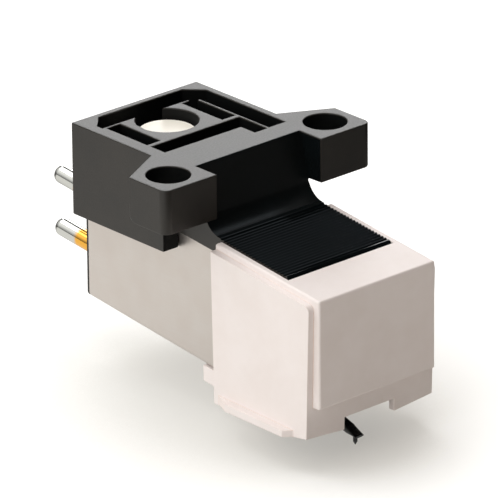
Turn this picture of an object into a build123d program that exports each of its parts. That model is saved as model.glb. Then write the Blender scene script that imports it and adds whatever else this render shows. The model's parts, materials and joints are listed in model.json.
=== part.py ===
# A moving-magnet stylus cartridge: a body that screws to a headshell, and a pull-off stylus unit
from build123d import *
import os
from math import cos, radians, sin, tan

# Millimetres. The origin is midway between the two screw holes on the top, mounting face.
# +Z is up, -Y is forward towards the stylus, and the generator body hangs nose-down.

# Mounting block and screw lugs
screw_spacing = 12.7
screw_hole_radius = 1.36
lug_margin = 2.0
lug_height = 2.88
lug_corner_radius = 0.55
lug_rear = 1.3
lug_foot_radius = 0.5
flare_length = 1.75
block_half_width = 5.08
block_rear = 10.42
block_height = 6.02
foot_front = 2.0

# Cored-out pockets in the top face
pocket_depth = 3.0
rim_plus_x = 0.52
rim_rear = 0.47
rim_minus_x = 0.78
channel_width = 1.54
side_channel_width = 1.32
side_channel_front = 1.65
channel_chamfer = 1.05
thin_rib = 0.2
pocket_width = 1.05
minus_x_pocket_front = 4.5
slot_front = 2.87
slot_width = 1.26
slot_leg_width = 1.0
slot_leg_length = 1.27
web = 0.4
rib_gap = 0.6
well_x = -0.54
well_y = 6.75
well_radius = 1.97
slug_sink = 0.67
slug_height = 2.0
slug_fit = 0.1
slug_chamfer = 0.14

# Ramp between the lugs, with its ribbed finger rest
body_tilt = 6.2
ramp_half_width = 4.2
ramp_wall_lean = 15.4
ramp_wall_front = 0.04
ramp_top_drop = 3.83
tongue_thickness = 1.1
ramp_bend_radius = 1.45
ramp_front = 8.28
ramp_front_bevel = 0.2
rib_count = 21
rib_pitch = 0.28
rib_depth = 0.09
rib_step = 0.056

# Generator body below the block: its sheet-metal can and the plastic nose ahead of it
body_half_width = 3.8
body_height = 8.08
can_sheet = 0.35
can_bend_radius = 0.35
can_rear = 10.53
can_top_gap = 0.2
can_front = -2.6
can_fit = 0.05
plate_thickness = 0.13
plate_plug = 0.9
nose_front = -7.6
nose_plug_rear = -0.2
stylus_channel_half_width = 1.3
stylus_channel_height = 1.65
magnet_window = 0.75

# Terminal pins
pin_radius = 0.58
pin_spread = 4.6
pin_low = 2.52
pin_top_margin = 2.06
pin_reach = 4.4
pin_inside = 1.15
pin_end_radius = 0.45
pin_neck_radius = 0.38
pin_neck = 0.15

# Poles, yokes and coils
pole_thickness = 0.9
pole_height = 1.0
bobbin_front = 3.0
bobbin_length = 5.2
flange_side_gap = 0.125
flange_thickness = 0.4
flange_rim = 0.2
bobbin_wall = 0.25
winding_corner = 0.5
yoke_thickness = 0.8
yoke_gap = 0.1
coil_fit = 0.03
front_arm = -1.5
rear_arm = 0.75
arm_width = 0.8
arm_foot = 0.5

# Stylus holder
holder_top_step = 0.1
holder_half_width = 4.7
holder_front = 11.57
holder_front_rise = 0.87
holder_edge_radius = 0.15
holder_wall_fit = 0.1
holder_roof = 0.95
skirt_front = 10.84
skirt_thickness = 0.5
tongue_fit = 0.05
tongue_front_fit = 0.08
cheek_half_width = 5.14
cheek_step = 0.4
cheek_rear = 2.33
cheek_rear_lean = 0.2
cheek_front = 11.12
cheek_corner_radius = 0.45
cheek_fall_rear = 1.44
cheek_fall_front = 1.14
skirt_drop = 0.26
notch_half_width = 2.02
notch_fall = 0.58
skirt_taper_start = 9.13
rail_width = 0.54
rail_drop = 0.74
rail_fall = 0.12
rail_height = 0.58
rail_rear = 2.9
rail_front = 9.68
rail_rear_taper = 1.25
rail_front_taper = 0.4
floor_thickness = 1.05
floor_rear = -0.05
floor_front = -5.6
floor_notch_half_width = 1.0
floor_fit = 0.05
boss_length = 1.6
boss_fit = 0.06
boss_height = 1.25

# Stylus: bar, ring, sleeve, magnets and tip
pivot_forward = 2.6
pivot_drop = 0.54
bar_radius = 0.36
bar_end_forward = 9.95
bar_end_fall = 2.21
bar_end_half_width = 0.34
bar_end_half_thickness = 0.09
bar_crush_length = 0.9
bar_root_gap = 1.0
spigot_radius = 0.24
sleeve_radius = 0.85
sleeve_wall = 0.22
sleeve_ahead = 0.6
sleeve_behind = 1.7
ring_length = 0.8
ring_fit = 0.01
magnet_start = 1.9
magnet_length = 1.3
magnet_depth = 0.5
magnet_width = 0.48
magnet_turn = 45
tip_radius = 0.14
tip_forward = 9.56
tip_reach = 0.65
tip_cone = 0.22
tip_flat = 0.015

# How far a cutting shape runs past what it cuts, and the allowance for picking edges by position
overshoot = 1.0
hair = 0.01

tilt = radians(body_tilt)
fall = tan(tilt)
lug_reach = screw_spacing / 2 + lug_margin
along = Vector(0, cos(tilt), sin(tilt))

# Depths below the top face, each at the origin, of planes that fall towards the front
roof_drop = ramp_top_drop + tongue_thickness
body_depth = roof_drop + body_height / cos(tilt)
inner_floor_drop = body_depth - can_sheet / cos(tilt)
holder_top_drop = ramp_top_drop + holder_top_step

# Level depths below the top face
cheek_depth_rear = body_depth + cheek_fall_rear
cheek_depth_front = body_depth + cheek_fall_front
holder_front_depth = body_depth - holder_front_rise
notch_depth = body_depth + notch_fall
rail_top = body_depth + rail_drop
rail_depth = rail_top + rail_height
pivot_depth = body_depth + pivot_drop
bar_end_depth = pivot_depth + bar_end_fall
tip_depth = bar_end_depth + tip_reach

# Inside the generator body: two coils high and two wide, evenly spaced, and pins between top and bottom
inner_half_width = body_half_width - can_sheet
flange_size = inner_half_width - 2 * flange_side_gap
winding_size = flange_size - 2 * flange_rim
coil_gap = (body_height - can_sheet - 2 * flange_size) / 3
coil_low = can_sheet + coil_gap + flange_size / 2
coil_pitch = flange_size + coil_gap
coil_side = inner_half_width / 2
pin_pitch = body_height - pin_top_margin - pin_low

# Side view of the generator body: x runs rearward along it, y up from its underside
body = Plane(origin=(0, 0, -body_depth), x_dir=along, z_dir=(1, 0, 0))
lengthwise = Axis(origin=(0, 0, 0), direction=along)


def tilted_z(drop, y):
    """Height at y of a plane that is parallel to the generator body and lies drop below the origin."""
    return -drop + fall * y


def band(rear, front, upper_drop, lower_drop):
    """Corners of a side-view strip with upright ends, parallel to the generator body above and below."""
    return (
        (rear, tilted_z(upper_drop, rear)),
        (front, tilted_z(upper_drop, front)),
        (front, tilted_z(lower_drop, front)),
        (rear, tilted_z(lower_drop, rear)),
    )


def station(u):
    """Section plane across the generator body at u along it, facing forward."""
    return Plane(origin=body.from_local_coords((u, 0, 0)), x_dir=(1, 0, 0), z_dir=-along)


with BuildPart() as main_housing:
    # Mounting block, flaring out to the two lugs
    with BuildSketch() as top_outline:
        with BuildLine():
            Polyline(
                (0, block_rear),
                (block_half_width, block_rear),
                (block_half_width, lug_rear + flare_length),
                (lug_reach, lug_rear),
                (lug_reach, -lug_margin),
                (ramp_half_width, -lug_margin),
                (ramp_half_width, -ramp_wall_front),
                (0, -ramp_wall_front),
            )
            mirror(about=Plane.YZ)
        make_face()
        outer_corners = top_outline.vertices().filter_by(lambda v: abs(v.X) > lug_reach - hair and v.Y < 0)
        fillet(outer_corners, lug_corner_radius)
    extrude(amount=-lug_height)
    flare_feet = main_housing.edges().filter_by(
        lambda e: abs(e.center().X) > block_half_width + hair
        and e.center().Y > lug_rear + hair
        and e.center().Z < hair - lug_height
    )
    fillet(flare_feet, lug_foot_radius)
    with BuildSketch(Plane.XY.offset(-lug_height)):
        with Locations((0, (block_rear + foot_front) / 2)):
            Rectangle(2 * block_half_width, block_rear - foot_front)
    extrude(amount=lug_height - block_height)

    # Ramp and tongue, down to the plane that the generator body hangs from
    with BuildSketch(Plane.YZ) as ramp_profile:
        lean = tan(radians(ramp_wall_lean))
        corner_y = -(ramp_wall_front + lean * ramp_top_drop) / (1 - lean * fall)
        bevel_y = ramp_front_bevel - ramp_front
        with BuildLine():
            Polyline(
                (foot_front + overshoot, 0),
                (-ramp_wall_front, 0),
                (corner_y, tilted_z(ramp_top_drop, corner_y)),
                (bevel_y, tilted_z(ramp_top_drop, bevel_y)),
                (-ramp_front, tilted_z(ramp_top_drop, -ramp_front) - ramp_front_bevel),
                (-ramp_front, tilted_z(roof_drop, -ramp_front)),
                (foot_front + overshoot, tilted_z(roof_drop, foot_front + overshoot)),
                close=True,
            )
        make_face()
        bend = ramp_profile.vertices().sort_by_distance((corner_y, tilted_z(ramp_top_drop, corner_y)))[0]
        fillet(bend, ramp_bend_radius)
    extrude(amount=ramp_half_width, both=True)

    # Saw-tooth ribs across the ramp: each groove is steep at its rear and shallow at its front
    ramp_top = Plane(
        origin=(0, -ramp_front + ramp_front_bevel, tilted_z(ramp_top_drop, -ramp_front + ramp_front_bevel)),
        x_dir=along,
        z_dir=(1, 0, 0),
    )
    with BuildSketch(ramp_top):
        with Locations([(rib_pitch * n, 0) for n in range(rib_count)]):
            Polygon((0, 0), (rib_pitch - rib_step, -rib_depth), (rib_pitch, 0), align=None)
    extrude(amount=ramp_half_width, both=True, mode=Mode.SUBTRACT)

    # Channel under the block for the can and the terminal plate
    with BuildSketch(Plane.YZ):
        Polygon(*band(block_rear + overshoot, foot_front, roof_drop, body_depth), align=None)
    extrude(amount=body_half_width + can_fit, both=True, mode=Mode.SUBTRACT)

    # Nose, flush with the can, and its plug inside the can
    with BuildSketch(Plane.YZ):
        Polygon(*band(can_front, nose_front, roof_drop, body_depth), align=None)
    extrude(amount=body_half_width, both=True)
    with BuildSketch(Plane.YZ):
        Polygon(*band(nose_plug_rear, can_front, roof_drop, inner_floor_drop - can_fit), align=None)
    extrude(amount=inner_half_width - can_fit, both=True)

    # Channel along the underside of the nose for the stylus unit, and slots for the poles
    with BuildSketch(Plane.YZ):
        channel_roof_drop = body_depth - stylus_channel_height
        Polygon(*band(0, nose_front - overshoot, channel_roof_drop, body_depth + overshoot), align=None)
    extrude(amount=stylus_channel_half_width, both=True, mode=Mode.SUBTRACT)
    slot_top = coil_low + coil_pitch + pole_height / 2 + can_fit
    for side in (1, -1):
        with BuildSketch(body.offset(side * (coil_side - pole_thickness / 2 - can_fit))):
            with Locations((front_arm - can_fit, 0)):
                Rectangle(overshoot - front_arm, slot_top, align=Align.MIN)
        extrude(amount=side * (pole_thickness + 2 * can_fit), mode=Mode.SUBTRACT)

    # Screw holes
    with BuildSketch():
        with GridLocations(screw_spacing, 0, 2, 1):
            Circle(screw_hole_radius)
    extrude(amount=-lug_height, mode=Mode.SUBTRACT)

    # Cored-out pockets of the top face
    plus_x = block_half_width - rim_plus_x
    minus_x = -block_half_width + rim_minus_x
    rear_y = block_rear - rim_rear
    channel_y = rear_y - channel_width
    inner_x = plus_x - side_channel_width
    pocket_rear = channel_y - thin_rib
    slot_rear = slot_front + slot_width
    with BuildSketch() as pockets:
        with BuildLine():
            Polyline(
                (minus_x, channel_y),
                (minus_x, rear_y - channel_chamfer),
                (minus_x + channel_chamfer, rear_y),
                (plus_x - channel_chamfer, rear_y),
                (plus_x, rear_y - channel_chamfer),
                (plus_x, side_channel_front),
                (inner_x, side_channel_front),
                (inner_x, channel_y),
                close=True,
            )
        make_face()
        with Locations((inner_x - thin_rib - pocket_width, slot_rear + web)):
            Rectangle(pocket_width, pocket_rear - slot_rear - web, align=Align.MIN)
        with Locations((inner_x - rib_gap, pocket_rear - thin_rib)):
            Rectangle(rib_gap, channel_y - pocket_rear + thin_rib, align=Align.MIN)
        with Locations((minus_x + thin_rib, minus_x_pocket_front)):
            Rectangle(pocket_width, pocket_rear - minus_x_pocket_front, align=Align.MIN)
        with Locations((minus_x + thin_rib, slot_front)):
            Rectangle(inner_x - minus_x - 2 * thin_rib, slot_width, align=Align.MIN)
        with Locations((inner_x - thin_rib - slot_leg_width, slot_front - slot_leg_length)):
            Rectangle(slot_leg_width, slot_leg_length, align=Align.MIN)
    extrude(amount=-pocket_depth, mode=Mode.SUBTRACT)
    with BuildSketch():
        with Locations((well_x, well_y)):
            Circle(well_radius)
    extrude(amount=-slug_sink - slug_height, mode=Mode.SUBTRACT)

with BuildPart() as ballast_slug:
    with BuildSketch(Plane.XY.offset(-slug_sink)):
        with Locations((well_x, well_y)):
            Circle(well_radius - slug_fit)
    extrude(amount=-slug_height)
    chamfer(ballast_slug.edges().filter_by(GeomType.CIRCLE), slug_chamfer)

with BuildPart() as shield_can:
    can_top_drop = roof_drop + can_top_gap
    with BuildSketch(Plane.YZ):
        Polygon(*band(can_rear, can_front, can_top_drop, body_depth), align=None)
    extrude(amount=body_half_width, both=True)
    fillet(shield_can.faces().sort_by(Axis.Z)[0].edges().filter_by(lengthwise), can_bend_radius)
    with BuildSketch(Plane.YZ):
        Polygon(*band(can_rear, can_front, can_top_drop - overshoot, inner_floor_drop), align=None)
    extrude(amount=inner_half_width, both=True, mode=Mode.SUBTRACT)
    with BuildSketch(Plane.YZ):
        window = band(magnet_window, can_front, inner_floor_drop - overshoot, body_depth + overshoot)
        Polygon(*window, align=None)
    extrude(amount=stylus_channel_half_width + can_fit, both=True, mode=Mode.SUBTRACT)

yoke_front = bobbin_front + bobbin_length + yoke_gap
yoke_rear = yoke_front + yoke_thickness

with BuildPart() as rear_terminal_plate:
    # Thin flange outside the can, and the plug inside it
    with BuildSketch(Plane.YZ):
        Polygon(*band(can_rear + plate_thickness, can_rear, roof_drop, body_depth), align=None)
    extrude(amount=body_half_width, both=True)
    fillet(rear_terminal_plate.faces().sort_by(Axis.Z)[0].edges().filter_by(lengthwise), can_bend_radius)
    plug_front = can_rear - plate_plug
    with BuildSketch(Plane.YZ):
        Polygon(*band(can_rear, plug_front, can_top_drop, inner_floor_drop - can_fit), align=None)
    extrude(amount=inner_half_width - can_fit, both=True)
    # Rest that the yokes seat against, between the two rows of pins
    rest_length = can_rear - yoke_rear - coil_fit
    with BuildSketch(body):
        with Locations((can_rear - rest_length / 2, pin_low + pin_pitch / 2)):
            Rectangle(rest_length, pin_pitch - 2 * (pin_radius + can_fit))
    extrude(amount=coil_side + pole_thickness / 2, both=True)
    # Holes for the pins
    with BuildSketch(station(can_rear + pin_reach)):
        with Locations((0, pin_low), (0, pin_low + pin_pitch)):
            with GridLocations(pin_spread, 0, 2, 1):
                Circle(pin_neck_radius)
    extrude(amount=2 * pin_reach, mode=Mode.SUBTRACT)


def terminal_pin(x, height):
    """One round-ended pin, on a thinner neck that passes through the terminal plate."""
    plate_station = (can_rear + plate_thickness) / cos(tilt) + height * fall
    with BuildPart() as pin:
        with BuildSketch(station(plate_station + pin_reach)):
            with Locations((x, height)):
                Circle(pin_radius)
        extrude(amount=pin_reach - pin_neck)
        fillet(pin.edges().sort_by(Axis.Y)[-1], pin_end_radius)
        with BuildSketch(station(plate_station + pin_neck)):
            with Locations((x, height)):
                Circle(pin_neck_radius)
        extrude(amount=pin_neck + plate_thickness + pin_inside)
    return pin.part


def pole_piece(x, height, arm_front):
    """One flat pole: a leg through a coil, and an arm down to the stylus channel."""
    with BuildPart() as pole:
        with BuildSketch(body.offset(x - pole_thickness / 2)):
            with BuildLine():
                Polyline(
                    (yoke_front, height - pole_height / 2),
                    (yoke_front, height + pole_height / 2),
                    (arm_front, height + pole_height / 2),
                    (arm_front, arm_foot),
                    (arm_front + arm_width, arm_foot),
                    (arm_front + arm_width, height - pole_height / 2),
                    close=True,
                )
            make_face()
        extrude(amount=pole_thickness)
    return pole.part


def coil_yoke(x):
    """The bar that joins the rear ends of one channel's two poles."""
    with BuildPart() as yoke:
        with BuildSketch(station(yoke_rear)):
            with Locations((x, coil_low + coil_pitch / 2)):
                Rectangle(pole_thickness, coil_pitch + pole_height)
        extrude(amount=yoke_thickness)
    return yoke.part


def coil_bobbin(x, height):
    """A square tube with a flange at each end, on one pole's leg."""
    tube_width = pole_thickness + 2 * (coil_fit + bobbin_wall)
    tube_height = pole_height + 2 * (coil_fit + bobbin_wall)
    with BuildPart() as bobbin:
        with BuildSketch(station(bobbin_front + bobbin_length)):
            with Locations((x, height)):
                Rectangle(tube_width, tube_height)
        extrude(amount=bobbin_length)
        for rear in (bobbin_front + bobbin_length, bobbin_front + flange_thickness):
            with BuildSketch(station(rear)):
                with Locations((x, height)):
                    Rectangle(flange_size, flange_size)
            extrude(amount=flange_thickness)
        with BuildSketch(station(bobbin_front + bobbin_length)):
            with Locations((x, height)):
                Rectangle(pole_thickness + 2 * coil_fit, pole_height + 2 * coil_fit)
        extrude(amount=bobbin_length, mode=Mode.SUBTRACT)
    return bobbin.part


def coil_winding(x, height):
    """The wire wound on one bobbin, as one rounded ring."""
    inner_width = pole_thickness + 2 * (2 * coil_fit + bobbin_wall)
    inner_height = pole_height + 2 * (2 * coil_fit + bobbin_wall)
    with BuildPart() as winding:
        with BuildSketch(station(bobbin_front + bobbin_length - flange_thickness - coil_fit)):
            with Locations((x, height)):
                RectangleRounded(winding_size, winding_size, winding_corner)
                Rectangle(inner_width, inner_height, mode=Mode.SUBTRACT)
        extrude(amount=bobbin_length - 2 * (flange_thickness + coil_fit))
    return winding.part


channels = {"left": 1, "right": -1}
pieces = {}
for channel, side in channels.items():
    pieces[f"{channel}_live_pin"] = terminal_pin(side * pin_spread / 2, pin_low + pin_pitch)
    pieces[f"{channel}_return_pin"] = terminal_pin(side * pin_spread / 2, pin_low)
    pieces[f"{channel}_front_pole"] = pole_piece(side * coil_side, coil_low + coil_pitch, front_arm)
    pieces[f"{channel}_rear_pole"] = pole_piece(side * coil_side, coil_low, rear_arm)
    pieces[f"{channel}_yoke"] = coil_yoke(side * coil_side)
    for level, height in (("upper", coil_low + coil_pitch), ("lower", coil_low)):
        pieces[f"{channel}_{level}_bobbin"] = coil_bobbin(side * coil_side, height)
        pieces[f"{channel}_{level}_winding"] = coil_winding(side * coil_side, height)

# The bar and its sleeve share one straight line, which slopes down from the pivot to the bar's end
pivot = Vector(0, -pivot_forward, -pivot_depth)
bar_end = Vector(0, -bar_end_forward, -bar_end_depth)
bar_length = (bar_end - pivot).length
sleeve_along = (pivot - bar_end).normalized()


def bar_station(ahead):
    """Section plane across the sleeve's axis, that far ahead of the pivot, facing forward."""
    return Plane(origin=pivot - sleeve_along * ahead, x_dir=(1, 0, 0), z_dir=-sleeve_along)


with BuildPart() as stylus_holder:
    # Front block and the strips beside the tongue
    with BuildSketch(Plane.YZ):
        Polygon(
            (-cheek_rear, tilted_z(holder_top_drop, -cheek_rear)),
            (-holder_front, tilted_z(holder_top_drop, -holder_front)),
            (-holder_front, -holder_front_depth),
            (-cheek_rear, -holder_front_depth),
            align=None,
        )
    extrude(amount=holder_half_width, both=True)
    front_edges = stylus_holder.edges().filter_by_position(Axis.Y, -holder_front - hair, -holder_front + hair)
    top_edges = stylus_holder.faces().sort_by(Axis.Z)[-1].edges()
    fillet(ShapeList(set(front_edges + top_edges)), holder_edge_radius)

    # Cheeks, as one slab that the skirt closes at the front
    with BuildSketch(Plane.YZ) as cheek_profile:
        with BuildLine():
            Polyline(
                (-cheek_rear, tilted_z(holder_top_drop, -cheek_rear) - cheek_step),
                (-cheek_front, tilted_z(holder_top_drop, -cheek_front) - cheek_step),
                (-skirt_front, -cheek_depth_front - skirt_drop),
                (-cheek_rear - cheek_rear_lean, -cheek_depth_rear),
                close=True,
            )
        make_face()
        top_front = cheek_profile.vertices().sort_by_distance((-cheek_front, -holder_top_drop))[0]
        fillet(top_front, cheek_corner_radius)
    extrude(amount=cheek_half_width, both=True)

    # Skirt corners, cut up towards the cheeks
    for side in (1, -1):
        notch_corner = Vector(side * notch_half_width, -skirt_front, -cheek_depth_front - skirt_drop)
        outer_corner = Vector(side * cheek_half_width, -skirt_front, -cheek_depth_front)
        rear_corner = Vector(side * cheek_half_width, -skirt_taper_start, -cheek_depth_front - skirt_drop)
        downward = (outer_corner - notch_corner).cross(rear_corner - outer_corner) * -side
        with BuildSketch(Plane(origin=notch_corner, z_dir=downward)):
            Rectangle(2 * cheek_depth_rear, 2 * cheek_depth_rear)
        extrude(amount=cheek_depth_rear, mode=Mode.SUBTRACT)

    # Cavity for the nose, open at the rear and below, and the slot for the tongue
    cavity_front = skirt_thickness - skirt_front
    with BuildSketch(Plane.YZ):
        cavity_floor_drop = cheek_depth_rear + 2 * overshoot
        Polygon(*band(0, cavity_front, holder_top_drop + holder_roof, cavity_floor_drop), align=None)
    extrude(amount=body_half_width + holder_wall_fit, both=True, mode=Mode.SUBTRACT)
    with BuildSketch(Plane.YZ):
        Polygon(*band(0, -ramp_front - tongue_front_fit, 0, roof_drop + tongue_fit), align=None)
    extrude(amount=ramp_half_width + tongue_fit, both=True, mode=Mode.SUBTRACT)

    # Notch in the skirt for the cantilever
    with BuildSketch(Plane.XZ.offset(skirt_front - overshoot)):
        with Locations((0, -notch_depth - overshoot)):
            Rectangle(2 * notch_half_width, 2 * overshoot)
    extrude(amount=2 * overshoot, mode=Mode.SUBTRACT)

    # Floor under the nose, with a boss that holds the sleeve
    floor_top = body_depth + floor_fit
    floor_bottom = floor_top + floor_thickness
    floor_joint = -cheek_rear - cheek_rear_lean
    boss_front = -pivot_forward - sleeve_ahead
    with BuildSketch(Plane.YZ):
        Polygon(*band(floor_joint, floor_front, floor_top, floor_bottom), align=None)
    extrude(amount=holder_half_width, both=True)
    with BuildSketch(Plane.YZ):
        Polygon(*band(floor_rear, floor_joint, floor_top, floor_bottom), align=None)
    extrude(amount=body_half_width, both=True)
    with BuildSketch(Plane.YZ):
        bar_gap = band(boss_front, floor_front - overshoot, floor_top - overshoot, floor_bottom + overshoot)
        Polygon(*bar_gap, align=None)
    extrude(amount=floor_notch_half_width, both=True, mode=Mode.SUBTRACT)
    with BuildSketch(Plane.YZ):
        Polygon(*band(boss_front + boss_length, boss_front, floor_top - boss_height, floor_top), align=None)
    extrude(amount=stylus_channel_half_width - boss_fit, both=True)
    with BuildSketch(bar_station(sleeve_ahead + overshoot)):
        Circle(sleeve_radius + ring_fit)
    extrude(amount=-(sleeve_ahead + sleeve_behind + 2 * overshoot), mode=Mode.SUBTRACT)

    # Rail along the foot of each cheek, for a slip-on guard
    for side in (1, -1):
        with BuildSketch(Plane.XY.offset(-rail_depth)):
            Polygon(
                (side * (cheek_half_width - rail_width), -rail_rear),
                (side * cheek_half_width, -rail_rear),
                (side * (cheek_half_width + rail_width), -rail_rear - rail_rear_taper),
                (side * (cheek_half_width + rail_width), -rail_front + rail_front_taper),
                (side * cheek_half_width, -rail_front),
                (side * (cheek_half_width - rail_width), -rail_front),
                align=None,
            )
        extrude(amount=rail_depth - rail_top)
        with BuildSketch(Plane.YZ.offset(side * cheek_half_width)):
            Polygon(
                (-rail_rear, -rail_top),
                (-rail_front, -rail_top - rail_fall),
                (-rail_front, -rail_top),
                align=None,
            )
        extrude(amount=side * 2 * rail_width, mode=Mode.SUBTRACT)

with BuildPart() as suspension_sleeve:
    with BuildSketch(bar_station(-sleeve_behind)):
        Circle(sleeve_radius)
        Circle(sleeve_radius - sleeve_wall, mode=Mode.SUBTRACT)
    extrude(amount=sleeve_behind + sleeve_ahead)

with BuildPart() as damper_ring:
    with BuildSketch(bar_station(-ring_length / 2)):
        Circle(sleeve_radius - sleeve_wall - ring_fit)
        Circle(spigot_radius + ring_fit, mode=Mode.SUBTRACT)
    extrude(amount=ring_length)

with BuildPart() as cantilever:
    # Round tube, pressed flat at its end, on a thinner spigot that carries the magnets
    with BuildSketch(bar_station(bar_root_gap)):
        Circle(bar_radius)
    extrude(amount=bar_length - bar_crush_length - bar_root_gap)
    with BuildSketch(bar_station(bar_length - bar_crush_length)):
        Circle(bar_radius)
    with BuildSketch(bar_station(bar_length)):
        Ellipse(bar_end_half_width, bar_end_half_thickness)
    loft()
    with BuildSketch(bar_station(bar_root_gap)):
        Circle(spigot_radius)
    extrude(amount=-bar_root_gap - magnet_start - magnet_length)
    # Socket for the tip, open below
    tip_top = pivot_depth + bar_end_fall * (tip_forward - pivot_forward) / (bar_end_forward - pivot_forward)
    with BuildSketch(Plane.XY.offset(-tip_depth)):
        with Locations((0, -tip_forward)):
            Circle(tip_radius)
    extrude(amount=tip_depth - tip_top, mode=Mode.SUBTRACT)

with BuildPart() as stylus_tip:
    with BuildSketch(Plane.YZ):
        Polygon(
            (-tip_forward, -tip_top),
            (-tip_forward, -tip_depth),
            (-tip_forward + tip_flat, -tip_depth),
            (-tip_forward + tip_radius, -tip_depth + tip_cone),
            (-tip_forward + tip_radius, -tip_top),
            align=None,
        )
    revolve(axis=Axis((0, -tip_forward, 0), (0, 0, 1)))


def bar_magnet(side):
    """One square bar magnet beside the spigot, turned to its channel's 45 degrees."""
    reach = (spigot_radius + ring_fit + magnet_depth / 2) * cos(radians(magnet_turn))
    with BuildPart() as magnet:
        with BuildSketch(bar_station(-magnet_start)):
            with Locations(Location((side * reach, reach), side * -magnet_turn)):
                Rectangle(magnet_width, magnet_depth)
        extrude(amount=-magnet_length)
    return magnet.part


for channel, side in channels.items():
    pieces[f"{channel}_magnet"] = bar_magnet(side)

for name, piece in (
    ("main_housing", main_housing),
    ("ballast_slug", ballast_slug),
    ("shield_can", shield_can),
    ("rear_terminal_plate", rear_terminal_plate),
    ("stylus_holder", stylus_holder),
    ("suspension_sleeve", suspension_sleeve),
    ("damper_ring", damper_ring),
    ("cantilever", cantilever),
    ("stylus_tip", stylus_tip),
):
    pieces[name] = piece.part

os.makedirs("parts", exist_ok=True)
for name, piece in pieces.items():
    piece.label = name
    export_step(piece, f"parts/{name}.step")
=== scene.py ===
"""The looks of a turntable stylus cartridge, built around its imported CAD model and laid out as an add-on."""

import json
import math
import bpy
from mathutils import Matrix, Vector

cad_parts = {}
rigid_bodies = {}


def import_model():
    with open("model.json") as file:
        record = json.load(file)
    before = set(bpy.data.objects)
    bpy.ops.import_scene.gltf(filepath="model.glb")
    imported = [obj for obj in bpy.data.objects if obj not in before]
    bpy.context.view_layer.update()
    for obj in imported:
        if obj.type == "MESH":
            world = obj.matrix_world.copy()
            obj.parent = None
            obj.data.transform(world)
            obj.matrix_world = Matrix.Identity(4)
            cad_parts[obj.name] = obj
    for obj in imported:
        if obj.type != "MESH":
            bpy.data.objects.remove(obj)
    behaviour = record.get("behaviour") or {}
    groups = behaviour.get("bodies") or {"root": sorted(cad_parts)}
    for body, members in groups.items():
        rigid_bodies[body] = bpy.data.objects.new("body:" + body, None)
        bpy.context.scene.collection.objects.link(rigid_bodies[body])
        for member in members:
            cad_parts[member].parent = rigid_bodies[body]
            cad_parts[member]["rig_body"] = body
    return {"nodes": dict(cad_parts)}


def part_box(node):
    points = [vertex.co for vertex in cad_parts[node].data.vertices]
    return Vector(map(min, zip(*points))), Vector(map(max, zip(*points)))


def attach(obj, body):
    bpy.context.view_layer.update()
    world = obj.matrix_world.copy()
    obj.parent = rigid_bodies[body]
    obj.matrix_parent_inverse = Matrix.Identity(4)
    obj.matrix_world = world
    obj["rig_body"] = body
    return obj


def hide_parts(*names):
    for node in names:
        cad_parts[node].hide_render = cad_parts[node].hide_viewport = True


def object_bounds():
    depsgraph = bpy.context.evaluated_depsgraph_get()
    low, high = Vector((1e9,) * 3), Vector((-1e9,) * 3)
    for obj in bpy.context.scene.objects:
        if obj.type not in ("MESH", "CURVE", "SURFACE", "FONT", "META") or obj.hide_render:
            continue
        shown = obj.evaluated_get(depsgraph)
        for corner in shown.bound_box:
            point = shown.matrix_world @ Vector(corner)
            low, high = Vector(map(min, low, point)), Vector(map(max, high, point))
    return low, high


bl_info = {
    "name": "Turntable Stylus Cartridge",
    "version": (1, 0, 0),
    "blender": (4, 5, 0),
    "location": "View3D > Sidebar > Cartridge",
    "description": "Finishes the pieces of a moving-magnet stylus cartridge and sets up a plain studio",
    "category": "Object",
}

import bpy
from mathutils import Matrix, Vector

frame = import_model()
CAD_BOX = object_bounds()

MM = 0.001
# The generator body and the terminal pins fall towards the front by this angle
BODY_TILT = math.radians(6.2)
# Turn that lays a pattern's Y along the body
ALONG_BODY = (-BODY_TILT, 0, 0)

# Values of the materials

# Sockets of a Mix node that mixes colours: the two that go in, and the one that comes out
FIRST, SECOND, MIXED = 6, 7, 2
# Cosine between a rounded normal and the true one, where the lighter edge begins and where it is full; on some
# materials that edge is wear, on others a painted highlight
EDGE_LIGHTENING_BEGINS, EDGE_LIGHTENING_FULL = 0.995, 0.80
# Values of a noise between which a pattern goes from none to full
GRAIN_RANGE = {"From Min": 0.3, "From Max": 0.7}
CLOUD_RANGE = {"From Min": 0.35, "From Max": 0.65}
# How far a grain takes the roughness up and down, on moulded and on rolled surfaces
MOULDED_SPREAD = 0.05
ROLLED_SPREAD = 0.06

# Values of the shapes

# Vertices nearer than this, in millimetres, are one, and faces that turn less than this are one flat
MERGE_MM = 0.0005
FLAT_ANGLE = math.radians(0.4)
# Outer edges at least this sharp are rounded, and what turns less than the second angle is shaded smooth
ROUNDED_ANGLE = math.radians(35)
SMOOTH_ANGLE = math.radians(32)

# Regions of the housing, in millimetres from the middle between its screw holes, on the seat

# Boxes as half a width about the middle, the ends from front to rear, and the heights
RAMP_AND_WALL = (4.16, (-8.45, 0.03), (-5.4, 0.01))
LUG_SIDES = (4.3, (-1.9, 0.1), (-3.0, -0.08))
POCKETS = (4.7, (1.5, 10.0), (-3.2, -0.06))
FEET_FRONTS = (9.0, (1.95, 2.05), (-6.0, -3.3))
# Height of the ramp's plane under the screw holes' line, and how near to that plane the ribs stay
RAMP_HEIGHT = -3.83
RIB_ZONE = 0.3
RIBS_REAR = -1.9
RIBS_HALF_WIDTH = 4.3
BEND_FRONT = -1.97
FEET_INNER = 3.6
# The screw holes' spacing; a hole's wall lies within the radius of its axis and the half depth of its middle
SCREW_SPACING = 12.7
HOLE_RADIUS = 1.4
HOLE_MIDDLE = -1.44
HOLE_HALF_DEPTH = 1.3
# Limits of a normal: its upward part on an upright face and in the bend, and its part along on a foot's front
UPRIGHT = -0.01
BENDING = 0.12
FORWARDS = -0.9
# A normal across, times the place across, is less than this where a face looks at the middle
INWARDS = -0.5

# Values of the studio, in metres

# Level direction out of which no lamp or bright wall shines: in front, on the right
DARK_SIDE = (0.62, -0.78, 0.0)
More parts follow.
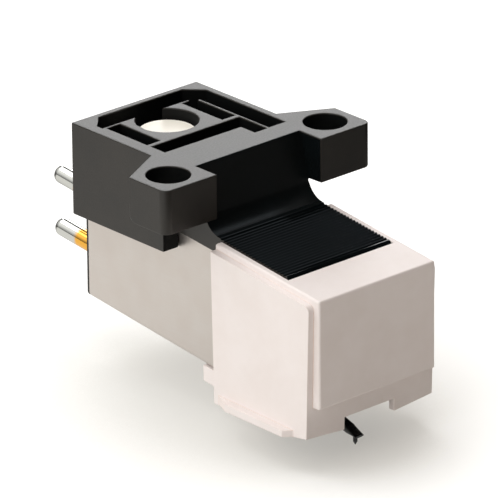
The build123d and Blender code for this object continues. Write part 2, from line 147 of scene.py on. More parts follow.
# Level direction in which gloss sees the end of the pale floor
REAR_RIGHT = (0.7, 0.71, 0.0)
FLOOR_SIZE = 6.0
FLOOR_GAP = 0.02 * MM
SHADOW_REACH = 0.02
LAMP_TARGET = (0, 0, -0.008)
# Each lamp's name, place, size, watts and colour
LAMPS = (
    ("overhead_softbox", (0.0, 0.16, 0.33), 0.28, 0.52, "ffffff"),
    ("left_softbox", (-0.35, -0.02, 0.15), 0.24, 0.13, "fbfdff"),
    ("rear_softbox", (0.25, 0.28, 0.105), 0.16, 0.33, "ffffff"),
    ("small_softbox", (0.212, 0.055, 0.262), 0.10, 0.02, "eaf6ff"),
)
# The dome's level where 1 is white, then its shares of that: at its rim, on its dark side, and on its left
DOME_LEVEL = 0.95
DOME_RIM = 0.8
DOME_DARK = 0.07
DOME_LEFT = 1.65
# Shares that gloss sees instead, at the dome's rim and on its right
GLOSS_RIM = 0.12
GLOSS_RIGHT = 0.07
# Where the photograph's perspective puts the camera, worked out from the part's own corners
LENS_MM = 511.81
SENSOR_MM = 36.0
AZIMUTH, ELEVATION, ROLL = (math.radians(degrees) for degrees in (-41.621, 22.631, -0.498))
# Its place in millimetres from the origin, along its own right, up and back
CAMERA_RIGHT, CAMERA_UP, CAMERA_BACK = 0.160, -6.105, 428.748


def mm_box(node):
    """Lowest and highest corners of a CAD node, in millimetres."""
    low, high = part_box(node)
    return low / MM, high / MM


# Nodes and materials


def hex_colour(code):
    """An sRGB hex colour as linear red, green, blue and alpha."""
    values = [int(code[i:i + 2], 16) / 255 for i in (0, 2, 4)]
    return tuple(v / 12.92 if v <= 0.04045 else ((v + 0.055) / 1.055) ** 2.4 for v in values) + (1.0,)


def add(tree, kind, inputs=None, **settings):
    """Adds a node with its settings; an input takes a value or another node's output."""
    node = tree.nodes.new("ShaderNode" + kind)
    for name, value in settings.items():
        setattr(node, name, value)
    for key, value in (inputs or {}).items():
        if isinstance(value, bpy.types.NodeSocket):
            tree.links.new(value, node.inputs[key])
        else:
            node.inputs[key].default_value = value
    return node


def new_material(name):
    """An empty node material with its output node."""
    material = bpy.data.materials.new(name)
    material.use_nodes = True
    tree = material.node_tree
    tree.nodes.clear()
    return material, tree, add(tree, "OutputMaterial")


def place_in_mm(tree, turn=(0, 0, 0), centre=(0, 0, 0), stretch=(1, 1, 1)):
    """Object coordinates in millimetres, turned and centred on a place, stretched for a directional grain."""
    coordinates = add(tree, "TexCoord").outputs["Object"]
    scaled = add(tree, "Mapping", {"Vector": coordinates, "Scale": (1 / MM,) * 3})
    centred = add(tree, "Mapping", {"Vector": scaled.outputs[0], "Location": tuple(-c for c in centre)})
    turned = add(tree, "Mapping", {"Vector": centred.outputs[0], "Rotation": turn, "Scale": stretch})
    return turned.outputs[0]


def edges_for_wear_and_highlight(tree, radius_mm):
    """One along the edges and nothing on the flats, from how far a rounded normal leaves the true one."""
    rounded = add(tree, "Bevel", {"Radius": radius_mm * MM}, samples=8).outputs[0]
    true = add(tree, "NewGeometry").outputs["True Normal"]
    facing = add(tree, "VectorMath", {0: rounded, 1: true}, operation="DOT_PRODUCT").outputs["Value"]
    return add(tree, "MapRange", {"Value": facing, "From Min": EDGE_LIGHTENING_BEGINS, "From Max": EDGE_LIGHTENING_FULL}).outputs[0]


def fine_grained(name, base, shade, edge, grain_mm, rough, edge_share, bump, gloss=0.5, edge_mm=0.12):
    """A fine even grain that spreads the sheen, as a spark-eroded die or grit leaves it, with lighter edges:
    wear on some materials, painted highlight on others.
    """
    material, tree, out = new_material(name)
    place = place_in_mm(tree)
    # A die's grain is about a twentieth of a millimetre; it is drawn a little coarser so that it shows
    grain = add(tree, "TexNoise", {"Vector": place, "Scale": 1 / grain_mm, "Detail": 3.0}).outputs[0]
    # Flow of the melt and handling leave clouds a few millimetres across
    clouds = add(tree, "TexNoise", {
        "Vector": place, "Scale": 0.35, "Detail": 4.0, "Roughness": 0.6}).outputs[0]
    cloudy = add(tree, "MapRange", {"Value": clouds, **CLOUD_RANGE}).outputs[0]
    flats = add(tree, "Mix", {0: cloudy, FIRST: hex_colour(base), SECOND: hex_colour(shade)},
                data_type="RGBA")
    # Edges take the edge colour: wear on some materials, a painted highlight on others
    wear_and_highlight = add(tree, "Math", {0: edges_for_wear_and_highlight(tree, edge_mm), 1: edge_share}, operation="MULTIPLY").outputs[0]
    colour = add(tree, "Mix", {0: wear_and_highlight, FIRST: flats.outputs[MIXED], SECOND: hex_colour(edge)},
                 data_type="RGBA")
    roughness = add(tree, "MapRange", {
        "Value": grain, **GRAIN_RANGE, "To Min": rough - MOULDED_SPREAD, "To Max": rough + MOULDED_SPREAD})
    relief = add(tree, "Bump", {"Strength": bump, "Distance": 0.02 * MM, "Height": grain})
    shader = add(tree, "BsdfPrincipled", {
        "Base Color": colour.outputs[MIXED], "Roughness": roughness.outputs[0], "Normal": relief.outputs[0],
        "IOR": 1.5, "Specular IOR Level": gloss})
    tree.links.new(shader.outputs[0], out.inputs[0])
    return material


def sheet_metal(name, base, shade, rough, grain_mm, grain_length_mm, turn, bump):
    """Rolled sheet: long fine grain marks in the rolling direction and a satin sheen."""
    material, tree, out = new_material(name)
    grain_place = place_in_mm(tree, turn=turn, stretch=(1 / grain_mm, 1 / grain_length_mm, 1 / grain_mm))
    grain = add(tree, "TexNoise", {"Vector": grain_place, "Scale": 1.0, "Detail": 2.0}).outputs[0]
    clouds = add(tree, "TexNoise", {"Vector": place_in_mm(tree), "Scale": 0.5, "Detail": 3.0}).outputs[0]
    blend = add(tree, "Math", {0: clouds, 1: grain}, operation="MULTIPLY").outputs[0]
    share = add(tree, "MapRange", {"Value": blend, "From Min": 0.15, "From Max": 0.4}).outputs[0]
    colour = add(tree, "Mix", {0: share, FIRST: hex_colour(shade), SECOND: hex_colour(base)},
                 data_type="RGBA")
    roughness = add(tree, "MapRange", {
        "Value": grain, **GRAIN_RANGE, "To Min": rough - ROLLED_SPREAD, "To Max": rough + ROLLED_SPREAD})
    relief = add(tree, "Bump", {"Strength": bump, "Distance": 0.01 * MM, "Height": grain})
    shader = add(tree, "BsdfPrincipled", {
        "Base Color": colour.outputs[MIXED], "Metallic": 1.0, "Roughness": roughness.outputs[0],
        "Normal": relief.outputs[0]})
    tree.links.new(shader.outputs[0], out.inputs[0])
    return material


def plated_pin(name, plate, gold, gold_end_mm, gold_edge_mm):
    """Turned brass, bright nickel plated, with the gold flash showing next to the terminal plate."""
    ragged_mm = 0.5
    material, tree, out = new_material(name)
    # Looking along the pin: turned so that Y runs out of the terminal plate
    place = place_in_mm(tree, turn=ALONG_BODY)
    reach = add(tree, "SeparateXYZ", {0: place}).outputs["Y"]
    ragged = add(tree, "TexNoise", {"Vector": place, "Scale": 1.2, "Detail": 3.0}).outputs[0]
    edge = add(tree, "Math", {0: ragged, 1: ragged_mm, 2: reach}, operation="MULTIPLY_ADD").outputs[0]
    # The noise is a half on average, so it carries the edge out by half of its spread
    edge_start = gold_end_mm + ragged_mm / 2
    edge_end = edge_start + gold_edge_mm
    share = add(tree, "MapRange", {"Value": edge, "From Min": edge_start, "From Max": edge_end})
    colour = add(tree, "Mix", {0: share.outputs[0], FIRST: hex_colour(gold), SECOND: hex_colour(plate)},
                 data_type="RGBA")
    # Turning marks a few hundredths of a millimetre apart, drawn at a tenth so that they show
    rings = add(tree, "TexWave", {"Vector": place, "Scale": 1.6, "Distortion": 1.0},
                bands_direction="Y").outputs[1]
    roughness = add(tree, "MapRange", {"Value": rings, "To Min": 0.09, "To Max": 0.14})
    relief = add(tree, "Bump", {"Strength": 0.05, "Distance": 0.004 * MM, "Height": rings})
    shader = add(tree, "BsdfPrincipled", {
        "Base Color": colour.outputs[MIXED], "Metallic": 1.0, "Roughness": roughness.outputs[0],
        "Normal": relief.outputs[0]})
    tree.links.new(shader.outputs[0], out.inputs[0])
    return material


def turned_disc(name, base, shade, centre_mm):
    """Faced off on a lathe: fine rings about the centre, with a soft satin sheen."""
    material, tree, out = new_material(name)
    place = place_in_mm(tree, centre=centre_mm)
    rings = add(tree, "TexWave", {"Vector": place, "Scale": 1.4, "Distortion": 0.6}, wave_type="RINGS",
                rings_direction="Z").outputs[1]
    clouds = add(tree, "TexNoise", {"Vector": place, "Scale": 0.8, "Detail": 2.0}).outputs[0]
    colour = add(tree, "Mix", {0: clouds, FIRST: hex_colour(base), SECOND: hex_colour(shade)},
                 data_type="RGBA")
    relief = add(tree, "Bump", {"Strength": 0.12, "Distance": 0.004 * MM, "Height": rings})
    shader = add(tree, "BsdfPrincipled", {
        "Base Color": colour.outputs[MIXED], "Metallic": 0.0, "Roughness": 0.4, "Normal": relief.outputs[0]})
    tree.links.new(shader.outputs[0], out.inputs[0])
    return material


def wound_wire(name, base, shade):
    """Enamelled copper wire wound in even layers, seen as fine ridges round the coil."""
    material, tree, out = new_material(name)
    place = place_in_mm(tree, turn=ALONG_BODY)
    # Wire of a twentieth of a millimetre, drawn at an eighth so that it shows
    turns = add(tree, "TexWave", {"Vector": place, "Scale": 1.27}, bands_direction="Y").outputs[1]
    # The turns are darker between the wires: painted shade in the grooves, beside the bump's relief
    colour = add(tree, "Mix", {0: turns, FIRST: hex_colour(shade), SECOND: hex_colour(base)},
                 data_type="RGBA")
    relief = add(tree, "Bump", {"Strength": 0.6, "Distance": 0.03 * MM, "Height": turns})
    shader = add(tree, "BsdfPrincipled", {
        "Base Color": colour.outputs[MIXED], "Metallic": 1.0, "Roughness": 0.32, "Coat Weight": 0.6,
        "Normal": relief.outputs[0]})
    tree.links.new(shader.outputs[0], out.inputs[0])
    return material


def soft_rubber(name, base, bloomed):
    """Soft black rubber: dull, with a faint bloom in patches."""
    material, tree, out = new_material(name)
    place = place_in_mm(tree)
    bloom = add(tree, "TexNoise", {"Vector": place, "Scale": 3.0, "Detail": 4.0}).outputs[0]
    share = add(tree, "MapRange", {"Value": bloom, "From Min": 0.4, "From Max": 0.8}).outputs[0]
    colour = add(tree, "Mix", {0: share, FIRST: hex_colour(base), SECOND: hex_colour(bloomed)},
                 data_type="RGBA")
    relief = add(tree, "Bump", {"Strength": 0.2, "Distance": 0.01 * MM, "Height": bloom})
    shader = add(tree, "BsdfPrincipled", {
        "Base Color": colour.outputs[MIXED], "Roughness": 0.75, "Normal": relief.outputs[0]})
    tree.links.new(shader.outputs[0], out.inputs[0])
    return material


# Shapes


def only(piece):
    """Makes a piece the one selected and active object."""
    for other in bpy.context.view_layer.objects:
        other.select_set(False)
    piece.select_set(True)
    bpy.context.view_layer.objects.active = piece


def copy_in_mm(node, name):
    """A merged copy of a CAD node's mesh, one unit to the millimetre, with its flat faces made whole."""
    source = frame["nodes"][node]
    piece = bpy.data.objects.new(name, source.data.copy())
    bpy.context.scene.collection.objects.link(piece)
    piece.data.transform(Matrix.Scale(1 / MM, 4))
    piece.data.materials.clear()
    only(piece)
    # The normals that came with the mesh are dropped, since rounding its edges makes new ones
    bpy.ops.mesh.customdata_custom_splitnormals_clear()
    bpy.ops.object.mode_set(mode="EDIT")
    bpy.ops.mesh.select_all(action="SELECT")
    bpy.ops.mesh.remove_doubles(threshold=MERGE_MM)
    bpy.ops.mesh.dissolve_limited(angle_limit=FLAT_ANGLE)
    bpy.ops.object.mode_set(mode="OBJECT")
    return piece


def sharp_outer_edges(piece):
    """The edges where two faces meet in a sharp outer corner, each with its middle."""
    mesh = piece.data
    sides = {}
    for face in mesh.polygons:
        for key in face.edge_keys:
            sides.setdefault(key, []).append(face)
    found = []
    for edge in mesh.edges:
        faces = sides.get(tuple(sorted(edge.vertices)), [])
        if len(faces) != 2:
            continue
        one, other = faces
        if one.normal.angle(other.normal, 0) < ROUNDED_ANGLE:
            continue
        middle = (mesh.vertices[edge.vertices[0]].co + mesh.vertices[edge.vertices[1]].co) / 2
        # On an outer corner the other face's centre lies behind this face
        if (other.center - middle).dot(one.normal) < 0:
            found.append((edge, middle))
    return found


def round_edges(piece, width_mm, segments, keep=None, strength="ALL"):
    """Bevels a piece's sharp outer edges, but not where keep says so, and marks the flats as strong."""
    chosen = sharp_outer_edges(piece)
    only(piece)
    # Edge selection comes before edit mode, or an edge between two chosen ones would be taken with them
    bpy.context.tool_settings.mesh_select_mode = (False, True, False)
    for part in (piece.data.vertices, piece.data.edges, piece.data.polygons):
        part.foreach_set("select", [False] * len(part))
    for edge, middle in chosen:
        if keep is None or not keep(middle):
            edge.select = True
    bpy.ops.object.mode_set(mode="EDIT")
    bpy.ops.mesh.bevel(offset=width_mm, segments=segments, profile=0.5, affect="EDGES", clamp_overlap=False,
                       loop_slide=False, face_strength_mode=strength)
    bpy.ops.object.mode_set(mode="OBJECT")


def own_finish(piece, inside, index):
    """Gives the faces whose middles and normals answer to a region the piece's material of that index."""
    for face in piece.data.polygons:
        if inside(face.center, face.normal):
            face.material_index = index


def finish_piece(piece, materials, node):
    """Brings a piece back to metres, shades it and lets it stand for a CAD node."""
    piece.data.transform(Matrix.Scale(MM, 4))
    for material in materials:
        piece.data.materials.append(material)
    only(piece)
    bpy.ops.object.shade_smooth_by_angle(angle=SMOOTH_ANGLE)
    weighted = piece.modifiers.new("weighted_normals", "WEIGHTED_NORMAL")
    weighted.keep_sharp = True
    weighted.use_face_influence = True
    bpy.ops.object.modifier_apply(modifier=weighted.name)
    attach(piece, frame["nodes"][node]["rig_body"])
    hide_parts(node)


def dress(nodes, material):
    """Gives CAD nodes that keep their own shape a material."""
    for node in nodes:
        mesh = frame["nodes"][node].data
        mesh.materials.clear()
        mesh.materials.append(material)


# Regions of the housing


def within(place, half_width, ends, heights):
    """Whether a place lies in a box that is even about the middle."""
    return abs(place.x) < half_width and ends[0] < place.y < ends[1] and heights[0] < place.z < heights[1]


def on_ribs(place):
    """Whether a place lies among the ramp's ribs."""
    ramp_height = RAMP_HEIGHT + math.tan(BODY_TILT) * place.y
    return abs(place.x) < RIBS_HALF_WIDTH and place.y < RIBS_REAR and abs(place.z - ramp_height) < RIB_ZONE


def on_ramp(place, normal):
    """Whether a face belongs to the wall, the bend or the ramp, or to a lug's side beside the wall."""
    on_top = within(place, *RAMP_AND_WALL) and normal.z > UPRIGHT
    beside_wall = within(place, *LUG_SIDES) and normal.x * place.x < INWARDS
    return on_top or beside_wall


def in_bend(place, normal):
    """Whether a face belongs to the bend between the wall and the ramp."""
    return on_ramp(place, normal) and place.y > BEND_FRONT and normal.z > BENDING


def in_painted_shade(place, normal):
    """Whether a face lies in a pocket or a screw hole, or is a foot's front: the faces that get painted shade.
    """
    from_hole = math.hypot(abs(place.x) - SCREW_SPACING / 2, place.y)
    in_hole = from_hole < HOLE_RADIUS and abs(place.z - HOLE_MIDDLE) < HOLE_HALF_DEPTH
    on_foot = within(place, *FEET_FRONTS) and abs(place.x) > FEET_INNER and normal.y < FORWARDS
    return within(place, *POCKETS) or in_hole or on_foot


# Sizes and colours that a user would change


class CartridgeSizes(bpy.types.PropertyGroup):
    housing_edge: bpy.props.FloatProperty(
        name="Housing edge", description="Rounding of the black moulding's edges, in millimetres",
        default=0.08, min=0.01, max=0.09)
    rib_edge: bpy.props.FloatProperty(
        name="Rib edge", description="Rounding of the ribs' crests, in millimetres", default=0.028,
        min=0.005, max=0.04)
    holder_edge: bpy.props.FloatProperty(
        name="Holder edge", description="Rounding of the stylus holder's edges, in millimetres", default=0.07,
        min=0.01, max=0.12)
    can_edge: bpy.props.FloatProperty(
        name="Can edge", description="Rounding of the sheet-metal can's edges, in millimetres", default=0.05,
        min=0.01, max=0.12)
    gold_reach: bpy.props.FloatProperty(
        name="Gold reach", description="How far the gold shows along a pin from the plate, in millimetres",
        default=2.1, min=0.2, max=4.0)


class CartridgeColours(bpy.types.PropertyGroup):
    housing: bpy.props.StringProperty(
        name="Housing", description="Colour of the black moulding, as sRGB hex", default="26221d")
    holder: bpy.props.StringProperty(
        name="Holder", description="Colour of the stylus holder, as sRGB hex", default="f4ecea")
    can: bpy.props.StringProperty(
        name="Can", description="Colour of the sheet-metal can, as sRGB hex", default="d7d1cc")
    gold: bpy.props.StringProperty(
        name="Gold", description="Colour of the gold at the foot of each pin, as sRGB hex", default="f2b54e")
    floor: bpy.props.StringProperty(
        name="Floor", description="Colour of the studio floor, as sRGB hex", default="bcbcba")


# Operators, one for each piece or group of like pieces


class CARTRIDGE_OT_housing(bpy.types.Operator):
    """Finish the black moulding with softened edges and its fine grain"""
    bl_idname = "cartridge.housing"
    bl_label = "Main housing"

    def execute(self, context):
        sizes, colours = context.scene.cartridge_sizes, context.scene.cartridge_colours
        piece = copy_in_mm("main_housing", "moulded_housing")
        round_edges(piece, sizes.housing_edge, 2, keep=on_ribs)
        round_edges(piece, sizes.rib_edge, 1, keep=lambda place: not on_ribs(place), strength="AFFECTED")
        for index, inside in enumerate((on_ramp, in_bend, in_painted_shade), start=1):
            own_finish(piece, inside, index)
        # Moulded in a spark-eroded die: a satin black with a fine grain, lighter along its edges, partly from
        # handling and partly a painted highlight
        eroded = fine_grained(
            "black_moulded_abs", base=colours.housing, shade="1f1c18", edge="4f4a44",
            grain_mm=0.11, rough=0.4, edge_share=0.35, bump=0.2)
        # The die's ramp is polished, so it holds no haze and stays near black
        polished = fine_grained(
            "polished_black_abs", base="0c1113", shade="090d0e", edge="2a2e31",
            grain_mm=0.3, rough=0.13, edge_share=0.05, bump=0.03)
        # The polisher's felt hardly reaches into the bend, which spreads what it reflects
        half_polished = fine_grained(
            "half_polished_black_abs", base="0c1113", shade="0a0d0d", edge="2a2e31",
            grain_mm=0.3, rough=0.34, edge_share=0.0, bump=0.03)
        # Pockets, holes and the foot's front get a darker black that sends little sheen back: painted shade in
        # the recesses and under the lugs
        painted_shade_black = fine_grained(
            "black_abs_painted_shade", base="0d0e0e", shade="0a0b0b", edge="1c1b1a",
            grain_mm=0.3, rough=0.5, edge_share=0.1, bump=0.03, gloss=0.15)
        finish_piece(piece, (eroded, polished, half_polished, painted_shade_black), "main_housing")
        return {"FINISHED"}


class CARTRIDGE_OT_holder(bpy.types.Operator):
    """Finish the off-white stylus holder"""
    bl_idname = "cartridge.holder"
    bl_label = "Stylus holder"

    def execute(self, context):
        sizes, colours = context.scene.cartridge_sizes, context.scene.cartridge_colours
        piece = copy_in_mm("stylus_holder", "moulded_holder")
        round_edges(piece, sizes.holder_edge, 2)
        # Moulded styrene, a little pink and milky; its thin edges are painted a warm light, a painted glow
        # standing in for light that gets into them
        styrene = fine_grained(
            "off_white_moulded_styrene", base=colours.holder, shade="f0e7e4", edge="efd6c8",
            grain_mm=0.15, rough=0.45, edge_share=0.6, bump=0.08, edge_mm=0.07)
        finish_piece(piece, (styrene,), "stylus_holder")
        return {"FINISHED"}


class CARTRIDGE_OT_can(bpy.types.Operator):
    """Finish the folded shield can and the plate at its rear"""
    bl_idname = "cartridge.can"
    bl_label = "Shield can and rear plate"

    def execute(self, context):
        sizes, colours = context.scene.cartridge_sizes, context.scene.cartridge_colours
        piece = copy_in_mm("shield_can", "folded_can")
        round_edges(piece, sizes.can_edge, 2)
        # Nickel-plated sheet, rolled and then folded: an even satin with faint marks along the body
        sheet = sheet_metal(
            "satin_nickel_sheet", base=colours.can, shade="d3cbc5", rough=0.42, grain_mm=0.05,
            grain_length_mm=2.5, turn=ALONG_BODY, bump=0.05)
        finish_piece(piece, (sheet,), "shield_can")
        # Moulded with a slightly rougher face than the housing's: duller, and nearly one black
        plate = fine_grained(
            "black_moulded_plate", base="171615", shade="1e1d1b", edge="2e2c2a",
            grain_mm=0.11, rough=0.45, edge_share=0.3, bump=0.25)
        dress(["rear_terminal_plate"], plate)
        return {"FINISHED"}


class CARTRIDGE_OT_pins(bpy.types.Operator):
    """Finish the terminal pins, nickel plated with gold at the foot"""
    bl_idname = "cartridge.pins"
    bl_label = "Terminal pins"

    def execute(self, context):
        # A pin's length outside the plate, and how far its gold fades out, in millimetres
        pin_reach, fade = 4.4, 0.25
        sizes, colours = context.scene.cartridge_sizes, context.scene.cartridge_colours
        pins = [name for name in frame["nodes"] if name.endswith("_pin")]
        for pin in sorted(pins):
            # A pin's tip, measured along the pin; the plate lies its reach behind that
            high = mm_box(pin)[1]
            tip = high.y * math.cos(BODY_TILT) + high.z * math.sin(BODY_TILT)
            gold_end = tip - pin_reach + sizes.gold_reach
            dress([pin], plated_pin("plated_" + pin, "cfd0cc", colours.gold, gold_end, fade))
        return {"FINISHED"}


class CARTRIDGE_OT_slug(bpy.types.Operator):
    """Finish the pale disc in the top of the housing"""
    bl_idname = "cartridge.slug"
    bl_label = "Ballast slug"

    def execute(self, context):
        low, high = mm_box("ballast_slug")
        dress(["ballast_slug"], turned_disc("pale_faced_disc", "fefaf0", "f7f2e6", (low + high) / 2))
        return {"FINISHED"}


class CARTRIDGE_OT_generator(bpy.types.Operator):
    """Finish the poles, yokes, bobbins and windings inside the can"""
    bl_idname = "cartridge.generator"
    bl_label = "Generator inside the can"

    def execute(self, context):
        names = sorted(frame["nodes"])
        # Nickel-iron sheet, annealed after punching: a soft matt grey
        iron = sheet_metal(
            "annealed_pole_sheet", base="b9b5ae", shade="a29d96", rough=0.4, grain_mm=0.06,
            grain_length_mm=1.5, turn=ALONG_BODY, bump=0.2)
        dress([name for name in names if name.endswith(("_pole", "_yoke"))], iron)
        # Nylon without a dye: waxy and a little yellow
        nylon = fine_grained(
            "natural_nylon", base="e2dcc8", shade="d9d2bb", edge="ece7d6",
            grain_mm=0.1, rough=0.5, edge_share=0.2, bump=0.1)
        dress([name for name in names if name.endswith("_bobbin")], nylon)
        copper = wound_wire("enamelled_copper", "c26a32", "7c3413")
        dress([name for name in names if name.endswith("_winding")], copper)
        return {"FINISHED"}


class CARTRIDGE_OT_stylus(bpy.types.Operator):
    """Finish the cantilever with its tip, magnets, rubber ring and sleeve"""
    bl_idname = "cartridge.stylus"
    bl_label = "Stylus"

    def execute(self, context):
        # Drawn tube, anodised black: hardly any colour of its own, and a low narrow sheen
        black = fine_grained(
            "black_anodised_bar", base="060607", shade="0a0a0b", edge="161617",
            grain_mm=0.06, rough=0.3, edge_share=0.2, bump=0.15)
        dress(["cantilever"], black)
        # Bright drawn metal: fine marks along its length
        tube = sheet_metal(
            "drawn_tube", base="c4c0b8", shade="a9a49b", rough=0.3, grain_mm=0.05,
            grain_length_mm=1.0, turn=(0, 0, 0), bump=0.15)
        dress(["suspension_sleeve"], tube)
        # Sintered and ground: dark grey, with a grain that catches light
        magnet = fine_grained(
            "sintered_magnet", base="4a4a4d", shade="55555a", edge="77777a",
            grain_mm=0.05, rough=0.45, edge_share=0.4, bump=0.4)
        dress(["left_magnet", "right_magnet"], magnet)
        dress(["damper_ring"], soft_rubber("soft_damper_rubber", "151514", "3a3938"))
        # Ground and polished stone: dark, with a small sharp glint
        jewel = fine_grained(
            "ground_jewel", base="1c1c1e", shade="26262a", edge="50505a",
            grain_mm=0.05, rough=0.12, edge_share=0.3, bump=0.05)
        dress(["stylus_tip"], jewel)
        return {"FINISHED"}


# Studio


def pale_floor(colour):
    """Matt white card: a soft shadow for the camera, partly cast by the lamps and partly painted, and a sweep
    of light for gloss.
    """
    material, tree, out = new_material("pale_floor")
    path = add(tree, "LightPath")
    # Bounced light comes off a plain floor
    bare = add(tree, "BsdfDiffuse", {"Color": hex_colour("d9d8d4")}).outputs[0]
    # The camera sees it a little over white, with a soft shadow that gathers under the part: partly cast by
    # the lamps, partly painted by dimming and warming the glow where little sky is open
    pale = add(tree, "BsdfDiffuse", {"Color": hex_colour(colour)}).outputs[0]
    open_sky = add(tree, "AmbientOcclusion", {"Distance": SHADOW_REACH}, samples=16).outputs["AO"]
    openness = add(tree, "MapRange", {"Value": open_sky, "From Min": 0.6, "From Max": 0.96}).outputs[0]
    glow_colour_with_painted_shadow = add(tree, "Mix", {0: openness, FIRST: hex_colour("fffcf5"), SECOND: hex_colour("ffffff")},
                      data_type="RGBA").outputs[MIXED]
    glow_strength_with_painted_shadow = add(tree, "MapRange", {"Value": openness, "To Min": 0.37, "To Max": 0.73}).outputs[0]
    glow = add(tree, "Emission", {"Color": glow_colour_with_painted_shadow, "Strength": glow_strength_with_painted_shadow}).outputs[0]
    lit = add(tree, "AddShader", {0: pale, 1: glow}).outputs[0]
    # Gloss reflects a sweep that is bright behind and to the left, and dark in front on the right
    place = add(tree, "TexCoord").outputs["Object"]
    side = add(tree, "VectorMath", {0: place, 1: DARK_SIDE}, operation="DOT_PRODUCT").outputs["Value"]
    behind = add(tree, "VectorMath", {0: place, 1: REAR_RIGHT}, operation="DOT_PRODUCT").outputs["Value"]
    by_side = add(tree, "MapRange", {
        "Value": side, "From Min": -0.02, "From Max": 0.03, "To Min": 1.0, "To Max": 0.19}).outputs[0]
    by_rear = add(tree, "MapRange", {
        "Value": behind, "From Min": 0.012, "From Max": 0.03, "To Min": 1.0, "To Max": 0.15}).outputs[0]
    bright = add(tree, "Math", {0: by_side, 1: by_rear}, operation="MULTIPLY").outputs[0]
    sweep = add(tree, "Emission", {"Color": hex_colour("fffdf8"), "Strength": bright}).outputs[0]
    mixed = add(tree, "MixShader", {0: path.outputs["Is Camera Ray"], 1: bare, 2: lit}).outputs[0]
    mixed = add(tree, "MixShader", {0: path.outputs["Is Glossy Ray"], 1: mixed, 2: sweep}).outputs[0]
    tree.links.new(mixed, out.inputs[0])
    return material


def add_floor(colour):
    """Lays the floor just under the part."""
    for other in bpy.context.view_layer.objects:
        other.select_set(False)
    bpy.ops.mesh.primitive_plane_add(size=FLOOR_SIZE, location=(0, 0, 0))
    floor = bpy.context.active_object
    floor.name = "studio_floor"
    floor.data.transform(Matrix.Translation((0, 0, CAD_BOX[0].z - FLOOR_GAP)))
    floor.data.materials.append(pale_floor(colour))


def add_world(scene):
    """A dome bright above and on the left, and dark in front on the right; the camera sees plain white."""
    world = bpy.data.worlds.new("studio_world")
    scene.world = world
    world.use_nodes = True
    tree = world.node_tree
    tree.nodes.clear()
    path = add(tree, "LightPath")
    gloss = path.outputs["Is Glossy Ray"]
    seen = add(tree, "Math", {0: path.outputs["Is Camera Ray"], 1: path.outputs["Is Transmission Ray"]},
               operation="MAXIMUM").outputs[0]
    way = add(tree, "TexCoord").outputs["Generated"]
    across, _, height = add(tree, "SeparateXYZ", {0: way}).outputs
    side = add(tree, "VectorMath", {0: way, 1: DARK_SIDE}, operation="DOT_PRODUCT").outputs["Value"]
    # Gloss sees the rim and the right dimmer than the light that falls on the part
    rim = add(tree, "MapRange", {"Value": gloss, "To Min": DOME_RIM, "To Max": GLOSS_RIM}).outputs[0]
    right = add(tree, "MapRange", {"Value": gloss, "To Min": 1.0, "To Max": GLOSS_RIGHT}).outputs[0]
    shares = (
        {"Value": height, "From Min": 0.05, "From Max": 0.6, "To Min": rim, "To Max": 1.0},
        {"Value": side, "From Min": -0.2, "From Max": 0.5, "To Min": 1.0, "To Max": DOME_DARK},
        {"Value": across, "From Min": -1.0, "From Max": 0.0, "To Min": DOME_LEFT, "To Max": 1.0},
        {"Value": across, "From Min": 0.1, "From Max": 0.45, "To Min": 1.0, "To Max": right},
    )
    strength = DOME_LEVEL
    for share in shares:
        fall = add(tree, "MapRange", share).outputs[0]
        strength = add(tree, "Math", {0: strength, 1: fall}, operation="MULTIPLY").outputs[0]
    # Light from the dark side is warm, and what gloss sees there is cool
    dark_tint = add(tree, "Mix", {0: gloss, FIRST: hex_colour("ffd2ae"), SECOND: hex_colour("e2f0f8")},
                    data_type="RGBA").outputs[MIXED]
    darkness = add(tree, "MapRange", {"Value": side, "From Min": -0.1, "From Max": 0.6}).outputs[0]
    tint = add(tree, "Mix", {0: darkness, FIRST: hex_colour("fffefb"), SECOND: dark_tint},
               data_type="RGBA").outputs[MIXED]
    fill = add(tree, "Background", {"Color": tint, "Strength": strength}).outputs[0]
    white = add(tree, "Background", {"Color": (1, 1, 1, 1), "Strength": 1.0}).outputs[0]
    mixed = add(tree, "MixShader", {0: seen, 1: fill, 2: white}).outputs[0]
    add(tree, "OutputWorld", {0: mixed})


def add_lamp(name, place, size, watts, colour):
    """A square softbox that faces the part."""
    lamp = bpy.data.lights.new(name, "AREA")
    lamp.shape = "SQUARE"
    lamp.size = size
    lamp.energy = watts
    lamp.color = hex_colour(colour)[:3]
    thing = bpy.data.objects.new(name, lamp)
    bpy.context.scene.collection.objects.link(thing)
    thing.location = place
    thing.rotation_mode = "QUATERNION"
    thing.rotation_quaternion = (Vector(place) - Vector(LAMP_TARGET)).to_track_quat("Z", "Y")


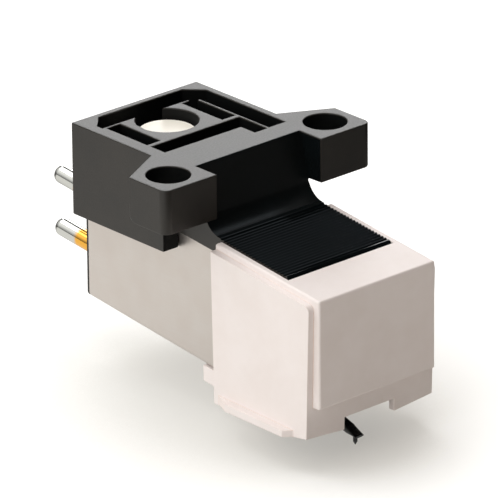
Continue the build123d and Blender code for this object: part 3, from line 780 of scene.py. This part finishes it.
def add_camera(scene):
    """The camera at the photograph's viewpoint, turned and rolled as it was."""
    lens = bpy.data.cameras.new("camera")
    lens.lens = LENS_MM
    lens.sensor_width = SENSOR_MM
    lens.clip_start = 0.01
    lens.clip_end = 20.0
    camera = bpy.data.objects.new("camera", lens)
    scene.collection.objects.link(camera)
    back = Vector((math.sin(AZIMUTH) * math.cos(ELEVATION), -math.cos(AZIMUTH) * math.cos(ELEVATION),
                   math.sin(ELEVATION)))
    level = Vector((math.cos(AZIMUTH), math.sin(AZIMUTH), 0))
    upright = back.cross(level)
    right = math.cos(ROLL) * level + math.sin(ROLL) * upright
    up = -math.sin(ROLL) * level + math.cos(ROLL) * upright
    centre = (CAMERA_RIGHT * right + CAMERA_UP * up + CAMERA_BACK * back) * MM
    camera.matrix_world = Matrix((
        (right.x, up.x, back.x, centre.x),
        (right.y, up.y, back.y, centre.y),
        (right.z, up.z, back.z, centre.z),
        (0, 0, 0, 1)))
    scene.camera = camera


class CARTRIDGE_OT_studio(bpy.types.Operator):
    """Set up the pale floor, the soft lamps, the world and the camera"""
    bl_idname = "cartridge.studio"
    bl_label = "Studio"

    def execute(self, context):
        scene = context.scene
        add_floor(scene.cartridge_colours.floor)
        add_world(scene)
        for lamp in LAMPS:
            add_lamp(*lamp)
        add_camera(scene)
        scene.view_settings.view_transform = "Standard"
        return {"FINISHED"}


# The add-on

OPERATORS = (
    CARTRIDGE_OT_housing, CARTRIDGE_OT_holder, CARTRIDGE_OT_can, CARTRIDGE_OT_pins, CARTRIDGE_OT_slug,
    CARTRIDGE_OT_generator, CARTRIDGE_OT_stylus, CARTRIDGE_OT_studio,
)


class CARTRIDGE_PT_panel(bpy.types.Panel):
    """Buttons for the pieces, with their sizes and colours"""
    bl_label = "Cartridge"
    bl_idname = "CARTRIDGE_PT_panel"
    bl_space_type = "VIEW_3D"
    bl_region_type = "UI"
    bl_category = "Cartridge"

    def draw(self, context):
        column = self.layout.column()
        for group in (context.scene.cartridge_sizes, context.scene.cartridge_colours):
            for name in group.__annotations__:
                column.prop(group, name)
        for operator in OPERATORS:
            column.operator(operator.bl_idname)


CLASSES = (CartridgeSizes, CartridgeColours) + OPERATORS + (CARTRIDGE_PT_panel,)


def register():
    for cls in CLASSES:
        bpy.utils.register_class(cls)
    bpy.types.Scene.cartridge_sizes = bpy.props.PointerProperty(type=CartridgeSizes)
    bpy.types.Scene.cartridge_colours = bpy.props.PointerProperty(type=CartridgeColours)


def unregister():
    del bpy.types.Scene.cartridge_colours
    del bpy.types.Scene.cartridge_sizes
    for cls in reversed(CLASSES):
        bpy.utils.unregister_class(cls)


def main():
    register()
    bpy.ops.cartridge.housing()
    bpy.ops.cartridge.holder()
    bpy.ops.cartridge.can()
    bpy.ops.cartridge.pins()
    bpy.ops.cartridge.slug()
    bpy.ops.cartridge.generator()
    bpy.ops.cartridge.stylus()
    bpy.ops.cartridge.studio()


if __name__ == "__main__":
    main()
